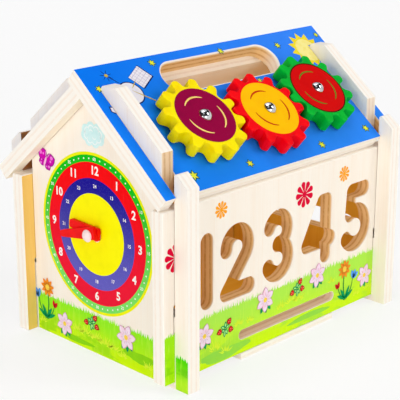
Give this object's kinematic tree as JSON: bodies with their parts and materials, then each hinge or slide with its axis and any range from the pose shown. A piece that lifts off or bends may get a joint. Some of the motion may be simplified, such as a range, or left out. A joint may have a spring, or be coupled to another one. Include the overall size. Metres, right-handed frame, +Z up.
{
  "type": "toy activity house",
  "caption": "Slotted plywood activity house with cut-out numbers, a clock with turning hands and a lift-off roof that carries a train of meshing gears.",
  "frame": {"origin": "on the ground under the middle of the house, on the floor board's underside", "axes": "+X along the ridge from the clock to the rear gable, -Y out of the wall with the numbers one to five, +Z up"},
  "size_m": [0.21, 0.1557, 0.1745],
  "materials": {
    "plywood": "smooth unpainted birch plywood with a printed meadow",
    "roof_blue": "plywood with a printed blue face",
    "gear_yellow": "painted plywood, satin",
    "gear_red": "painted plywood, satin",
    "gear_green": "painted plywood, satin",
    "bright_metal": "polished domed head",
    "plain_metal": "zinc grey",
    "hand_red": "satin red",
    "pin_white": "glossy white"
  },
  "bodies": {
    "house": {"clock_gable": "plywood", "rear_gable": "plywood", "front_wall": "plywood", "back_wall": "plywood", "floor_board": "plywood", "clock_pin": "pin_white", "clock_spacer": "pin_white", "clock_cap": "pin_white"},
    "roof": {"roof_front": "roof_blue", "roof_back": "roof_blue", "gear_bolts": "bright_metal", "gear_spacers": "pin_white", "gear_washers": "plain_metal", "gear_nuts": "plain_metal"},
    "yellow_gear": {"gear_yellow": "gear_yellow"},
    "red_gear": {"gear_red": "gear_red"},
    "green_gear": {"gear_green": "gear_green"},
    "hour": {"hour_hand": "hand_red"},
    "minute": {"minute_hand": "hand_red"}
  },
  "joints": [
    {"name": "roof_lift", "type": "slide", "parent": "house", "child": "roof", "axis": [0, 0, 1], "range_m": [0, 0.06]},
    {"name": "yellow_gear_spin", "type": "hinge", "parent": "roof", "child": "yellow_gear", "pos_m": [-0.04969, -0.03794, 0.13908], "axis": [0, -0.6441, 0.7649], "continuous": true},
    {"name": "red_gear_spin", "type": "hinge", "parent": "roof", "child": "red_gear", "pos_m": [0.0009, -0.04245, 0.13528], "axis": [0, -0.6441, 0.7649], "continuous": true},
    {"name": "green_gear_spin", "type": "hinge", "parent": "roof", "child": "green_gear", "pos_m": [0.05149, -0.03794, 0.13908], "axis": [0, -0.6441, 0.7649], "continuous": true},
    {"name": "hour_hand_turn", "type": "hinge", "parent": "house", "child": "hour", "pos_m": [-0.0965, 0, 0.0768], "axis": [-1, 0, 0], "continuous": true},
    {"name": "minute_hand_turn", "type": "hinge", "parent": "house", "child": "minute", "pos_m": [-0.0965, 0, 0.0768], "axis": [-1, 0, 0], "continuous": true}
  ],
  "couplings": [
    {"joint": "red_gear_spin", "follows": "yellow_gear_spin", "ratio": -1},
    {"joint": "green_gear_spin", "follows": "yellow_gear_spin", "ratio": 1}
  ]
}
